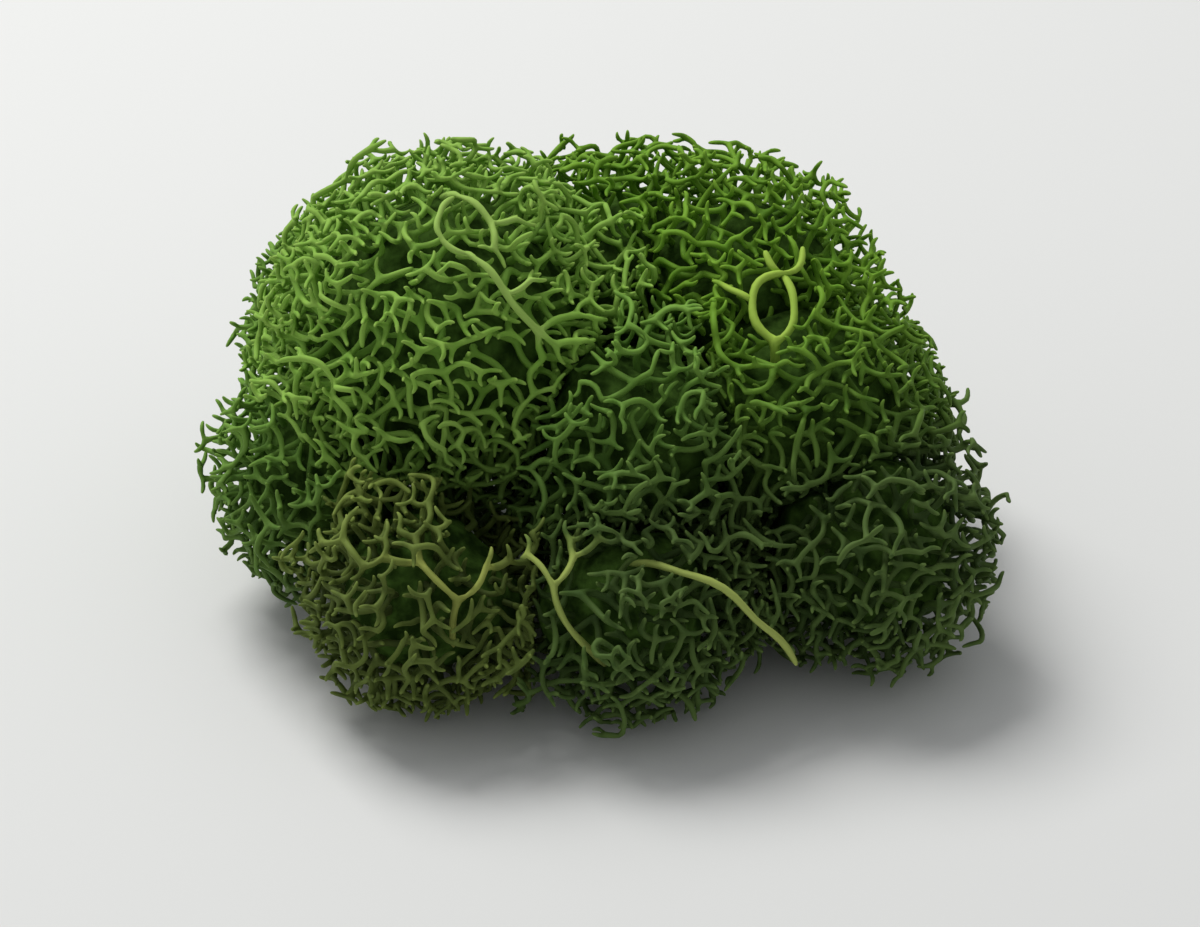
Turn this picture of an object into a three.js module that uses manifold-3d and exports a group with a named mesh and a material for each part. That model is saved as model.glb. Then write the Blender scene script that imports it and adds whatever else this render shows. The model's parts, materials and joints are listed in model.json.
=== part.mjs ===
// Reindeer moss clump: a cushion of reindeer lichen as it is picked and kept, made of twelve separate
// lichens (podetia) that stand side by side and interlace without growing together. Each one is a stem with
// a torn, flat foot, and a round head of branches that fork in threes, again and again, out to pointed tips.
// Millimetres, +Z up. The clump stands on z = 0, with its origin under the middle of its extents.
import * as THREE from 'three';
import { mergeVertices } from 'three/addons/utils/BufferGeometryUtils.js';
import Module from 'manifold-3d';

// Driving dimensions: the box that the cushion fills, and the real sizes of its stems and branches.
const CLUMP = { width: 80, depth: 66, height: 48 };
const STEM = { footRadius: 1.5, radius: 0.95, sides: 6, steps: 5, flareHeight: 0.12, top: 0.97 };
const BRANCH_RADIUS = [0.78, 0.66, 0.56]; // of first, second and third branches, out to their corners
const TIP_GAP = 0.25; // between a tip and the edge of its lichen's own space
const FLOOR_GAP = 0.9; // no branch comes nearer to the ground, only the feet meet it
const SEED = 20261;

// Each lichen: the centre of its head, as shares of half the clump's width and depth and of its height,
// the head's radius as a share of the height, and how far out its foot stands, as a share of the head.
const PODETIA = [
  { name: 'crown', head: [-0.41, 0.06, 0.625], radius: 0.375, foot: 0.42 },
  { name: 'back', head: [0.025, 0.515, 0.55], radius: 0.29, foot: 0.42 },
  { name: 'right_back', head: [0.35, 0.33, 0.625], radius: 0.27, foot: 0.42 },
  { name: 'right', head: [0.5, -0.09, 0.46], radius: 0.29, foot: 0.42 },
  { name: 'front', head: [0.07, -0.27, 0.47], radius: 0.27, foot: 0.42 },
  { name: 'left_back', head: [-0.6, 0.53, 0.4], radius: 0.29, foot: 0.5 },
  { name: 'left_low', head: [-0.72, -0.09, 0.3], radius: 0.25, foot: 0.62 },
  { name: 'front_left_low', head: [-0.46, -0.63, 0.25], radius: 0.25, foot: 0.6 },
  { name: 'front_low', head: [0.06, -0.66, 0.23], radius: 0.245, foot: 0.6 },
  { name: 'right_front_low', head: [0.66, -0.4, 0.27], radius: 0.27, foot: 0.6 },
  { name: 'right_low', head: [0.58, 0.36, 0.27], radius: 0.25, foot: 0.62 },
  { name: 'back_low', head: [0.2, 0.65, 0.29], radius: 0.26, foot: 0.6 },
];
const BALLS_ALONG = [0.15, 0.4, 0.65, 1]; // where on its stem a lichen's own space has a ball
const STEM_SPACE = 3.2; // the radius of that space at the foot
const SPINE_BEND = { across: 0.3, up: 0.5 }; // a stem rises first, and then leans out to its head
const BLEND = 2; // how softly the outlines of neighbouring heads flow into that of the whole cushion

// How a head is filled with branches. Lengths are in mm, and shares are of the free space ahead. The dense
// middle of a head lies well below its tips. Trunks stand out of it, as many as its size gives, and a few
// more out of the stem. They fork into limbs, branches and tips.
const CORE = { below: 12.5, least: 2.2, clear: 1.5, detail: 1 };
const ROOT = { density: 0.059, sway: 0.2, sunk: 2.2, hiddenBeyond: 3, underside: -0.55 };
const STEM_ROOTS = { count: 3, from: 0.3, to: 0.66, sway: 0.5, rise: 0.5, sunk: 0.76 };
const TRUNK = { share: 0.36, least: 1.3, most: 4.6, room: 2.6 };
const FORK = [
  { tilt: 0.8, sway: 0.24, share: 0.42, most: 3.8, room: 4.8, outward: 0.16 }, // trunk to limb
  { tilt: 0.76, sway: 0.26, share: 0.52, most: 3.2, room: 3.2, outward: 0.14 }, // limb to branch
  { tilt: 0.7, sway: 0.3, outward: 0.12 }, // branch to tip
];
const TIP = { least: 1.3, share: 0.97, most: 2.6 }; // also where there is no room to fork again
const FORK_TURN = 0.4; // how far a side branch may turn from the middle of its fork's side, in radians
const LENGTH_SWAY = 0.12;
const APEX_RISE = 0.55; // how far a fork's middle stands up, as a share of the branch's radius
const TRIES = 6;
const BRANCH_GAP = 0.12; // between branches that don't share a fork
const GAP_CHECKS = [0.25, 0.5, 0.75, 1]; // where along a new branch its gap is measured
const TRUNK_GAP_CHECKS = [1]; // trunks may be grown together at their roots
const LEAN = { gap: 0.3, branch: 0.75, tip: 0.35, clear: 0.15 }; // how near a tip comes to a neighbour
const SCORE = { gapUpTo: 2, perLength: 0.35 }; // of several ways to grow, the freest and longest is best
const RUN = { steps: 40, least: 0.02 }; // steps of the search for free space
const LOOK = { colour: 0x5f8a34, roughness: 0.85, lighterUpwards: 0.06 };

const CORNER_ANGLES = [210, 330, 90].map(THREE.MathUtils.degToRad);
const GOLDEN_ANGLE = Math.PI * (3 - Math.sqrt(5));
const UP = new THREE.Vector3(0, 0, 1);

function seededDraws(seed) {
  let state = seed;
  return () => {
    state = (state * 48271) % 2147483647;
    return state / 2147483647;
  };
}

const draw = seededDraws(SEED);
const swing = (reach) => (2 * draw() - 1) * reach;

// ---- The space that each lichen has to itself ----

// A lichen's space is a chain of balls up its stem, which swell into the ball of its head.
function plan({ name, head, radius, foot }) {
  const centre = new THREE.Vector3(
    (head[0] * CLUMP.width) / 2,
    (head[1] * CLUMP.depth) / 2,
    head[2] * CLUMP.height,
  );
  const footPoint = new THREE.Vector3(centre.x * foot, centre.y * foot, 0);
  const bend = new THREE.Vector3().lerpVectors(footPoint, centre, SPINE_BEND.across);
  bend.setZ(SPINE_BEND.up * centre.z);
  const spine = new THREE.QuadraticBezierCurve3(footPoint, bend, centre);
  const headRadius = radius * CLUMP.height;
  const balls = BALLS_ALONG.map((t) => ({
    centre: spine.getPoint(t),
    radius: THREE.MathUtils.lerp(STEM_SPACE, headRadius, t * t),
  }));
  return { name, centre, headRadius, spine, balls };
}

const lichens = PODETIA.map(plan);

// How deep a point lies inside a lichen's balls, and negative outside them.
function depthIn(lichen, point) {
  return Math.max(...lichen.balls.map((ball) => ball.radius - ball.centre.distanceTo(point)));
}

// How far a point is from the nearest limit of a lichen's space: its neighbours, the ground and the outline
// of the cushion, into which the outlines of all heads flow.
function room(lichen, point) {
  const own = depthIn(lichen, point);
  let clear = point.z - FLOOR_GAP;
  let sum = 0;
  for (const other of lichens) {
    const depth = depthIn(other, point);
    sum += Math.exp(depth / BLEND);
    if (other !== lichen) clear = Math.min(clear, (own - depth) / 2);
  }
  return Math.min(clear, BLEND * Math.log(sum));
}

// How far one can go from a point before the space left round it is less than clear.
function freeRun(lichen, from, direction, clear) {
  const point = from.clone();
  let run = 0;
  for (let step = 0; step < RUN.steps; step++) {
    const ahead = room(lichen, point) - clear;
    if (ahead < RUN.least) break;
    run += ahead;
    point.addScaledVector(direction, ahead);
  }
  return run;
}

function outwardAt(lichen, point) {
  const depths = lichen.balls.map((ball) => ball.radius - ball.centre.distanceTo(point));
  const nearest = lichen.balls[depths.indexOf(Math.max(...depths))];
  return new THREE.Vector3().subVectors(point, nearest.centre).normalize();
}

function coreRadius(lichen, direction) {
  const reach = freeRun(lichen, lichen.centre, direction, 0);
  const full = Math.max(CORE.least, lichen.headRadius - CORE.below);
  return Math.min(full, reach - CORE.clear);
}

// ---- Branches ----

// The three corners of a branch's end. The last one points up, and they turn left about its direction.
function corners(centre, direction, up, radius) {
  const side = new THREE.Vector3().crossVectors(up, direction);
  return CORNER_ANGLES.map((angle) =>
    centre
      .clone()
      .addScaledVector(side, radius * Math.cos(angle))
      .addScaledVector(up, radius * Math.sin(angle)),
  );
}

function acrossFrom(direction, hint) {
  return hint.clone().addScaledVector(direction, -hint.dot(direction)).normalize();
}

// The triangle that the next branch grows from: one side of the low pyramid on its parent's end.
function forkFace(parent, side) {
  const ring = corners(parent.to, parent.direction, parent.up, parent.radius);
  const apex = parent.to.clone().addScaledVector(parent.direction, APEX_RISE * parent.radius);
  return [ring[side], ring[(side + 1) % 3], apex];
}

function nearestOn(branch, point) {
  return new THREE.Line3(branch.from, branch.to).closestPointToPoint(point, true, new THREE.Vector3());
}

function distanceToBranch(point, branch) {
  return nearestOn(branch, point).distanceTo(point);
}

// The clearance between a new branch and all that its lichen has already, but for its parent and sisters.
function clearance(branch, grown) {
  let least = Infinity;
  for (const share of branch.parent ? GAP_CHECKS : TRUNK_GAP_CHECKS) {
    const point = new THREE.Vector3().lerpVectors(branch.from, branch.to, share);
    for (const other of grown) {
      const kin = branch.parent && (other === branch.parent || other.parent === branch.parent);
      if (kin) continue;
      least = Math.min(least, distanceToBranch(point, other) - other.radius - branch.radius);
    }
  }
  return least;
}

function bestOf(candidates, grown) {
  let best = null;
  let bestScore = -Infinity;
  for (const branch of candidates) {
    const gap = clearance(branch, grown);
    if (gap < BRANCH_GAP) continue;
    const score = Math.min(gap, SCORE.gapUpTo) + SCORE.perLength * branch.length;
    if (score > bestScore) [best, bestScore] = [branch, score];
  }
  return best;
}

// A trunk that stands out of the core or the stem.
function trunk(lichen, surfacePoint, direction, sunk) {
  const radius = BRANCH_RADIUS[0];
  const run = freeRun(lichen, surfacePoint, direction, radius);
  if (run < TRUNK.room) return null;
  const length = THREE.MathUtils.clamp(TRUNK.share * run, TRUNK.least, TRUNK.most);
  const up = acrossFrom(direction, Math.abs(direction.z) > 0.9 ? new THREE.Vector3(1, 0, 0) : UP);
  up.applyAxisAngle(direction, swing(Math.PI));
  return {
    from: surfacePoint.clone().addScaledVector(direction, -sunk),
    to: surfacePoint.clone().addScaledVector(direction, length),
    direction,
    up,
    radius,
    length,
    order: 1,
    parent: null,
    children: [null, null, null],
  };
}

// One way in which a fork's side could grow on: as a branch that forks again, or else as a pointed tip.
function offshoot(lichen, parent, side) {
  const fork = FORK[parent.order - 1];
  const [a, b, apex] = forkFace(parent, side);
  const base = new THREE.Vector3().addVectors(a, b).add(apex).divideScalar(3);
  const edge = new THREE.Vector3().addVectors(a, b).multiplyScalar(0.5);
  const away = new THREE.Vector3().subVectors(edge, parent.to).normalize();
  away.applyAxisAngle(parent.direction, swing(FORK_TURN));
  const tilt = fork.tilt + swing(fork.sway);
  const direction = parent.direction.clone().multiplyScalar(Math.cos(tilt));
  direction.addScaledVector(away, Math.sin(tilt));
  direction.addScaledVector(outwardAt(lichen, base), fork.outward).normalize();
  const stretch = 1 + swing(LENGTH_SWAY);
  let radius = BRANCH_RADIUS[parent.order];
  let length = 0;
  const run = fork.room ? freeRun(lichen, base, direction, radius) : 0;
  if (fork.room && run > fork.room) {
    length = Math.min(fork.share * run, fork.most * stretch);
  } else {
    radius = 0;
    length = Math.min(TIP.share * freeRun(lichen, base, direction, TIP_GAP), TIP.most * stretch);
    if (length < TIP.least) return null;
  }
  return {
    from: base,
    to: base.clone().addScaledVector(direction, length),
    direction,
    up: acrossFrom(direction, apex.sub(edge)),
    radius,
    length,
    order: parent.order + 1,
    parent,
    children: [null, null, null],
  };
}

// Places on the core from which trunks grow, evenly spread, where the lichen isn't hidden by its neighbours.
function coreTrunks(lichen) {
  const count = Math.round(ROOT.density * lichen.headRadius ** 2);
  const found = [];
  for (let i = 0; i < count; i++) {
    const height = 1 - (2 * i + 1) / count;
    const across = Math.sqrt(1 - height * height);
    const turn = i * GOLDEN_ANGLE + swing(ROOT.sway);
    const direction = new THREE.Vector3(across * Math.cos(turn), across * Math.sin(turn), height);
    const reach = freeRun(lichen, lichen.centre, direction, 0);
    const limit = lichen.centre.clone().addScaledVector(direction, reach);
    if (height < ROOT.underside || depthIn(lichen, limit) > ROOT.hiddenBeyond) continue;
    const surfacePoint = lichen.centre.clone().addScaledVector(direction, coreRadius(lichen, direction));
    found.push(trunk(lichen, surfacePoint, direction, ROOT.sunk));
  }
  return found;
}

function stemTrunks(lichen) {
  const found = [];
  for (let i = 0; i < STEM_ROOTS.count; i++) {
    const along = THREE.MathUtils.lerp(STEM_ROOTS.from, STEM_ROOTS.to, i / (STEM_ROOTS.count - 1));
    const turn = i * GOLDEN_ANGLE + swing(STEM_ROOTS.sway);
    const direction = new THREE.Vector3(Math.cos(turn), Math.sin(turn), STEM_ROOTS.rise).normalize();
    const surfacePoint = lichen.spine.getPoint(along).addScaledVector(direction, STEM.radius);
    found.push(trunk(lichen, surfacePoint, direction, STEM_ROOTS.sunk));
  }
  return found;
}

// All the branches of one lichen, order by order, so that every head fills evenly.
function grow(lichen) {
  const grown = [];
  let level = [];
  for (const start of [...coreTrunks(lichen), ...stemTrunks(lichen)]) {
    if (!start || clearance(start, grown) < BRANCH_GAP) continue;
    grown.push(start);
    level.push(start);
  }
  while (level.length > 0) {
    const next = [];
    for (const parent of level) {
      for (let side = 0; side < 3; side++) {
        const tries = Array.from({ length: TRIES }, () => offshoot(lichen, parent, side));
        const branch = bestOf(tries.filter(Boolean), grown);
        if (!branch) continue;
        parent.children[side] = branch;
        grown.push(branch);
        if (branch.radius > 0) next.push(branch);
      }
    }
    level = next;
  }
  return grown;
}

// ---- Where neighbours touch ----

// How thick a branch is about its axis, at its sides, and for a tip at its middle.
function thickness(branch) {
  return branch.radius > 0 ? LEAN.branch * branch.radius : LEAN.tip * branch.parent.radius;
}

// Whether a tip that ends at a new place would stay clear of all that it doesn't grow beside.
function staysClear(tip, end, others) {
  return GAP_CHECKS.every((share) => {
    const point = new THREE.Vector3().lerpVectors(tip.from, end, share);
    return others.every((other) => {
      const kin = other === tip || other === tip.parent || other.parent === tip.parent;
      return kin || distanceToBranch(point, other) > thickness(other) + LEAN.clear;
    });
  });
}

// In a cushion every lichen leans on its neighbours: one of its tips is drawn out to the nearest branch of
// the lichens that already stand.
function leanOn(standing, grown) {
  let best = { reach: Infinity };
  for (const tip of grown.filter((branch) => branch.radius === 0)) {
    for (const branch of standing) {
      const seat = nearestOn(branch, tip.to);
      const reach = seat.distanceTo(tip.to) - thickness(branch) - LEAN.gap;
      if (reach >= best.reach) continue;
      const end = tip.to.clone().addScaledVector(seat.sub(tip.to).normalize(), reach);
      if (staysClear(tip, end, [...standing, ...grown])) best = { reach, tip, end };
    }
  }
  best.tip.to.copy(best.end);
}

// ---- Meshes ----

// A closed surface is collected as triangles, and its corners are merged into shared vertices.
class Surface {
  constructor() {
    this.corners = [];
  }

  triangle(a, b, c) {
    this.corners.push(a, b, c);
  }

  // The sides between two rings with as many corners, both turning left about the direction of growth.
  sleeve(lower, upper) {
    lower.forEach((corner, i) => {
      const next = (i + 1) % lower.length;
      this.triangle(corner, lower[next], upper[next]);
      this.triangle(corner, upper[next], upper[i]);
    });
  }

  geometry() {
    const flat = new THREE.BufferGeometry().setFromPoints(this.corners);
    return mergeVertices(flat, 1e-4);
  }
}

// What grows on the three-cornered base of a branch: its tip, or its sides and forks.
function addBranch(surface, branch, base) {
  if (branch.radius === 0) {
    base.forEach((corner, i) => surface.triangle(corner, base[(i + 1) % 3], branch.to));
    return;
  }
  surface.sleeve(base, corners(branch.to, branch.direction, branch.up, branch.radius));
  branch.children.forEach((child, side) => {
    const face = forkFace(branch, side);
    if (child) addBranch(surface, child, face);
    else surface.triangle(...face);
  });
}

function treeGeometry(trunkBranch) {
  const surface = new Surface();
  const { from, direction, up, radius } = trunkBranch;
  const base = corners(from, direction, up, radius);
  surface.triangle(base[0], base[2], base[1]);
  addBranch(surface, trunkBranch, base);
  return surface.geometry();
}

// The dense middle of a head: a faceted ball, pressed in where the neighbours stand.
function coreGeometry(lichen) {
  const ball = new THREE.IcosahedronGeometry(1, CORE.detail);
  const place = ball.getAttribute('position');
  for (let i = 0; i < place.count; i++) {
    const direction = new THREE.Vector3().fromBufferAttribute(place, i).normalize();
    const radius = coreRadius(lichen, direction);
    place.setXYZ(i, ...direction.multiplyScalar(radius).add(lichen.centre).toArray());
  }
  ball.deleteAttribute('normal');
  ball.deleteAttribute('uv');
  return mergeVertices(ball, 1e-3);
}

function stemRing(centre, radius) {
  return Array.from({ length: STEM.sides }, (_, i) => {
    const angle = (i * 2 * Math.PI) / STEM.sides;
    return new THREE.Vector3(Math.cos(angle), Math.sin(angle), 0).multiplyScalar(radius).add(centre);
  });
}

// The stem follows the spine from its torn foot, cut flat on the ground, into the core.
function stemGeometry(lichen) {
  const surface = new Surface();
  const rings = [stemRing(lichen.spine.getPoint(0), STEM.footRadius)];
  for (let step = 0; step < STEM.steps; step++) {
    const along = THREE.MathUtils.lerp(STEM.flareHeight, STEM.top, step / (STEM.steps - 1));
    rings.push(stemRing(lichen.spine.getPoint(along), STEM.radius));
  }
  for (let step = 0; step < STEM.steps; step++) surface.sleeve(rings[step], rings[step + 1]);
  const foot = rings[0];
  const top = rings[STEM.steps];
  for (let i = 1; i < STEM.sides - 1; i++) {
    surface.triangle(foot[0], foot[i + 1], foot[i]);
    surface.triangle(top[0], top[i], top[i + 1]);
  }
  return surface.geometry();
}

// ---- Joining each lichen into one solid ----

const wasm = await Module();
wasm.setup();

function solidOf(geometry) {
  return new wasm.Manifold(
    new wasm.Mesh({
      numProp: 3,
      vertProperties: geometry.getAttribute('position').array,
      triVerts: new Uint32Array(geometry.index.array),
    }),
  );
}

function geometryOf(solid) {
  const { vertProperties, triVerts } = solid.getMesh();
  const geometry = new THREE.BufferGeometry();
  geometry.setAttribute('position', new THREE.BufferAttribute(new Float32Array(vertProperties), 3));
  geometry.setIndex(new THREE.BufferAttribute(new Uint32Array(triVerts), 1));
  geometry.computeVertexNormals();
  return geometry;
}

function podetiumGeometry(lichen, grown) {
  let solid = solidOf(coreGeometry(lichen)).add(solidOf(stemGeometry(lichen)));
  for (const branch of grown) {
    if (branch.order === 1) solid = solid.add(solidOf(treeGeometry(branch)));
  }
  return geometryOf(solid);
}

// Higher heads are a little lighter, as they dry in the light.
function lichenMaterial(lichen) {
  const shade = new THREE.Color(LOOK.colour);
  shade.offsetHSL(0, 0, LOOK.lighterUpwards * (lichen.centre.z / CLUMP.height - 0.5));
  return new THREE.MeshStandardMaterial({ color: shade, roughness: LOOK.roughness, metalness: 0 });
}

const clump = new THREE.Group();
const extents = new THREE.Box3();
const standing = [];
for (const lichen of lichens) {
  const grown = grow(lichen);
  if (standing.length > 0) leanOn(standing, grown);
  standing.push(...grown);
  for (const branch of grown) if (branch.radius === 0) extents.expandByPoint(branch.to);
  const mesh = new THREE.Mesh(podetiumGeometry(lichen, grown), lichenMaterial(lichen));
  mesh.name = `podetium_${lichen.name}`;
  clump.add(mesh);
}
const middle = extents.getCenter(new THREE.Vector3());
clump.position.set(-middle.x, -middle.y, 0);

export default clump;
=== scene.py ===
import json
import math

import bmesh
import bpy
import numpy as np
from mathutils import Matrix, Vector

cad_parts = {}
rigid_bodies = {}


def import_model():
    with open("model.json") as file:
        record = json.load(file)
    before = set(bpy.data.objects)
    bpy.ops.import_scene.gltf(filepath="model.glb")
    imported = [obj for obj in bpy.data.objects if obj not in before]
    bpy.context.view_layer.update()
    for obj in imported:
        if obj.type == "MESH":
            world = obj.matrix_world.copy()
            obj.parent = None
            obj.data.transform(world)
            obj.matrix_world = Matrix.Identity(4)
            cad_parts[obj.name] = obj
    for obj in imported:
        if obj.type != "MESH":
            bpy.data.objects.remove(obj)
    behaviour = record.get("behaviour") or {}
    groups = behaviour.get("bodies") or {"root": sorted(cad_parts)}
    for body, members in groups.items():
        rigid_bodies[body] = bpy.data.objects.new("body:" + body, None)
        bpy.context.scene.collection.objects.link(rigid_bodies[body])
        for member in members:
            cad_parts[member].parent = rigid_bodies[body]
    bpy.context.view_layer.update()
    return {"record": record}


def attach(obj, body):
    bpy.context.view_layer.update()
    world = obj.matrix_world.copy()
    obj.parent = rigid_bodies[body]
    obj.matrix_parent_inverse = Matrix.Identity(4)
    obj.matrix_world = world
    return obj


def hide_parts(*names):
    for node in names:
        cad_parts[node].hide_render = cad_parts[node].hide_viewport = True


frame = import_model()

# ---- Where the twelve lichens stand ----
# A clump of reindeer moss is a cushion of separate lichens, side by side. Each has a space of its own, a
# chain of balls up its stem that swell into its round, slightly lumpy head. Where two spaces meet, the
# branches of both reach a little way in among each other, without growing together.

MM = 0.001
CLUMP = np.array([80, 66, 48]) * MM  # width, depth and height
LICHENS = {  # head: shares of half the width, half the depth and the height; radius: of the height
    "crown": {"head": (-0.41, 0.06, 0.625), "radius": 0.375, "foot": 0.42, "tint": "pale"},
    "back": {"head": (0.025, 0.515, 0.55), "radius": 0.29, "foot": 0.42, "tint": "fresh"},
    "right_back": {"head": (0.35, 0.33, 0.625), "radius": 0.27, "foot": 0.42, "tint": "fresh"},
    "right": {"head": (0.5, -0.09, 0.46), "radius": 0.29, "foot": 0.42, "tint": "fresh"},
    "front": {"head": (0.07, -0.27, 0.47), "radius": 0.27, "foot": 0.42, "tint": "cool"},
    "left_back": {"head": (-0.6, 0.53, 0.4), "radius": 0.29, "foot": 0.5, "tint": "cool"},
    "left_low": {"head": (-0.72, -0.09, 0.3), "radius": 0.25, "foot": 0.62, "tint": "cool"},
    "front_left_low": {"head": (-0.46, -0.63, 0.25), "radius": 0.25, "foot": 0.6, "tint": "dry"},
    "front_low": {"head": (0.06, -0.66, 0.23), "radius": 0.245, "foot": 0.6, "tint": "cool"},
    "right_front_low": {"head": (0.66, -0.4, 0.27), "radius": 0.27, "foot": 0.6, "tint": "cool"},
    "right_low": {"head": (0.58, 0.36, 0.27), "radius": 0.25, "foot": 0.62, "tint": "cool"},
    "back_low": {"head": (0.2, 0.65, 0.29), "radius": 0.26, "foot": 0.6, "tint": "cool"},
}
BALLS_ALONG = np.array([0.15, 0.4, 0.65, 1.0])
STEM_SPACE = 3.2 * MM
SPINE_BEND = {"across": 0.3, "up": 0.5}
FLOOR_GAP = 0.5 * MM
BLEND = 3 * MM  # how softly the outlines of neighbouring heads flow into one cushion
INTERLACED = 1.1 * MM  # how far branches reach in among those of the neighbours
LUMPS = {"height": 0.5 * MM, "length": 9 * MM, "warp": 1.3, "pace": (1.1, 0.9)}
HOLLOWS = [  # where no branch grows: the cleft under the crown, and the dark of the loop on the right head
    {"at": np.array([-11.5, -20.6, 21.7]) * MM, "radius": 5 * MM},
    {"at": np.array([17.6, -3.4, 35.2]) * MM, "radius": 4 * MM},
]
RUN = {"steps": 24, "least": 0.02 * MM}
NAMES = list(LICHENS)


def spine(name, along):
    """Points up a lichen's stem, which rises first and then leans out to the middle of its head."""
    foot, centre = LICHENS[name]["foot_point"], LICHENS[name]["centre"]
    bend = foot + (centre - foot) * SPINE_BEND["across"]
    bend[2] = SPINE_BEND["up"] * centre[2]
    t = np.reshape(along, (-1, 1))
    return (1 - t) ** 2 * foot + 2 * t * (1 - t) * bend + t**2 * centre


# The crown's foot is the mount that the clump rests on, which tells where the whole clump stands.
half_box = CLUMP * [0.5, 0.5, 1]
crown_foot = half_box * [*LICHENS["crown"]["head"][:2], 0] * LICHENS["crown"]["foot"]
stand = np.array(frame["record"]["mounts"][0]["pos_m"]) - crown_foot
for name, lichen in LICHENS.items():
    centre = half_box * lichen["head"]
    lichen["centre"] = centre + stand
    lichen["foot_point"] = centre * [1, 1, 0] * lichen["foot"] + stand
    lichen["reach"] = lichen["radius"] * CLUMP[2]
    lichen["balls"] = spine(name, BALLS_ALONG)
    lichen["ball_reach"] = STEM_SPACE + (lichen["reach"] - STEM_SPACE) * BALLS_ALONG**2
all_balls = np.concatenate([lichen["balls"] for lichen in LICHENS.values()])
all_reach = np.concatenate([lichen["ball_reach"] for lichen in LICHENS.values()])


def depths(points):
    """How deep each point lies in the balls of each lichen, and negative outside them."""
    squares = (points**2).sum(1)[:, None] - 2 * points @ all_balls.T + (all_balls**2).sum(1)
    inside = all_reach - np.sqrt(np.maximum(squares, 0))
    return inside.reshape(len(points), len(NAMES), -1).max(axis=2)


def lumps(points):
    """How far the outline swells out or sinks in at each point."""
    x, y, z = (points * (2 * math.pi / LUMPS["length"])).T
    pace_y, pace_z = LUMPS["pace"]
    waves = np.sin(x + LUMPS["warp"] * np.sin(y)) + np.sin(pace_y * y + z) + np.sin(pace_z * z - x)
    return LUMPS["height"] * waves


def below_outline(deep, points):
    """How deep points lie under the outline of the whole cushion."""
    return BLEND * np.log(np.exp(deep / BLEND).sum(axis=1)) + lumps(points)


def room(name, points, beyond):
    """How far each point is from the nearest limit of a lichen's own space, or from beyond the outline."""
    deep = depths(points)
    own = deep[:, NAMES.index(name)]
    others = np.delete(deep, NAMES.index(name), axis=1).max(axis=1)
    limits = [below_outline(deep, points) + beyond, points[:, 2] - FLOOR_GAP]
    limits.append((own - others) / 2 + INTERLACED)
    limits += [np.linalg.norm(points - hollow["at"], axis=1) - hollow["radius"] for hollow in HOLLOWS]
    return np.min(limits, axis=0)


def free_run(name, starts, directions, clear, beyond=0):
    """How far one can go from each start before less than clear is left round it."""
    runs = np.zeros(len(starts))
    beyond = np.broadcast_to(beyond, runs.shape)
    active = np.arange(len(starts))
    for _ in range(RUN["steps"]):
        points = starts[active] + directions[active] * runs[active, None]
        ahead = room(name, points, beyond[active]) - clear
        runs[active] += np.maximum(ahead, 0)
        active = active[ahead > RUN["least"]]
        if len(active) == 0:
            break
    return runs


# ---- The branches of a head ----
# The podetium is one hollow, felted tissue. Trunks stand out of its dense middle and its stem, and fork in
# threes or twos into limbs, branches and twigs with short, blunt tips. A branch leaves its fork sideways and
# curves back, so the axils are round, and near the outline it lies along it, as part of a net.

SEED = 20261
TRUNK = {"radius": 0.5 * MM, "share": 0.34, "least": 1.2 * MM, "most": 3.8 * MM, "room": 2.2 * MM}
FORKS = [  # how side branches stand to the one before; the last order grows on while there is room
    {"radius": 0.44 * MM, "tilt": 0.85, "share": 0.42, "most": 4 * MM, "room": 3.4 * MM, "outward": 0.14},
    {"radius": 0.39 * MM, "tilt": 0.95, "share": 0.55, "most": 3.7 * MM, "room": 2.3 * MM, "outward": 0.1},
    {"radius": 0.35 * MM, "tilt": 1.0, "share": 0.75, "most": 3.5 * MM, "room": 1.6 * MM, "outward": 0.06},
]
TIP = {"radius": 0.26 * MM, "tilt": 0.8, "outward": 0.1}
TIP_SIZE = {"least": 0.6 * MM, "most": 1.9 * MM, "deepest": 3.2 * MM}
BEYOND = {"least": -1 * MM, "most": 1 * MM, "tip": 0.6 * MM}  # how far branches may stand past the outline
STRAY = {"share": 0.05, "beyond": 2.2 * MM}  # and a few of them further
TIPS_A_FORK = 2
TIP_ORDER = 9
RIPE_ORDER = 3  # from this order on, branches are as light as they get short of the tips
MOST_ORDERS = 7
MOST_STRANDS = 20000
NOT_OWN = -2
FLATTEN = {"share": 0.8, "from": 1 * MM, "over": 3 * MM}  # how much branches are laid along the outline
SWAY = {"tilt": 0.28, "turn": 0.45, "length": 0.25, "bend": 0.22, "stray": 0.1, "shade": 0.5, "radius": 0.12}
SKIPPED = 0.08  # share of the sides of forks that stay bare
APEX_RISE = 0.55
TRIES = {"branch": 7, "tip": 4}
GAPS = {"trunk": 0.3 * MM, "branch": 0.5 * MM, "tip": 0.12 * MM}
GAP_CHECKS = np.array([0.35, 0.65, 1.0])
SCORE = {"gap_up_to": 2 * MM, "per_length": 0.35, "branch": 1, "closed": -0.25}
NEAR = 3.2 * MM
ROOTS = {"below": 9 * MM, "least": 2.4 * MM, "clear": 1.5 * MM, "density": 0.2 / MM**2, "sway": 0.25}
ROOTS_END = {"hidden_beyond": 5 * MM, "underside": -0.75}
STEM_ROOTS = {"count": 12, "from": 0.22, "to": 0.8, "rise": 0.5, "sway": 0.5, "sunk": 0.7 * MM}
NEARLY_UP = 0.9
NUDGE = 0.01
STEM_RADIUS = 0.95 * MM
GOLDEN_ANGLE = math.pi * (3 - math.sqrt(5))
CORNERS = np.radians([210, 330, 90])
BRANCH = np.dtype(
    [(part, float, 3) for part in ("start", "end", "direction", "up", "bend")]
    + [("radius", float), ("shade", float), ("parent", int), ("side", int), ("order", int)]
)


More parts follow.
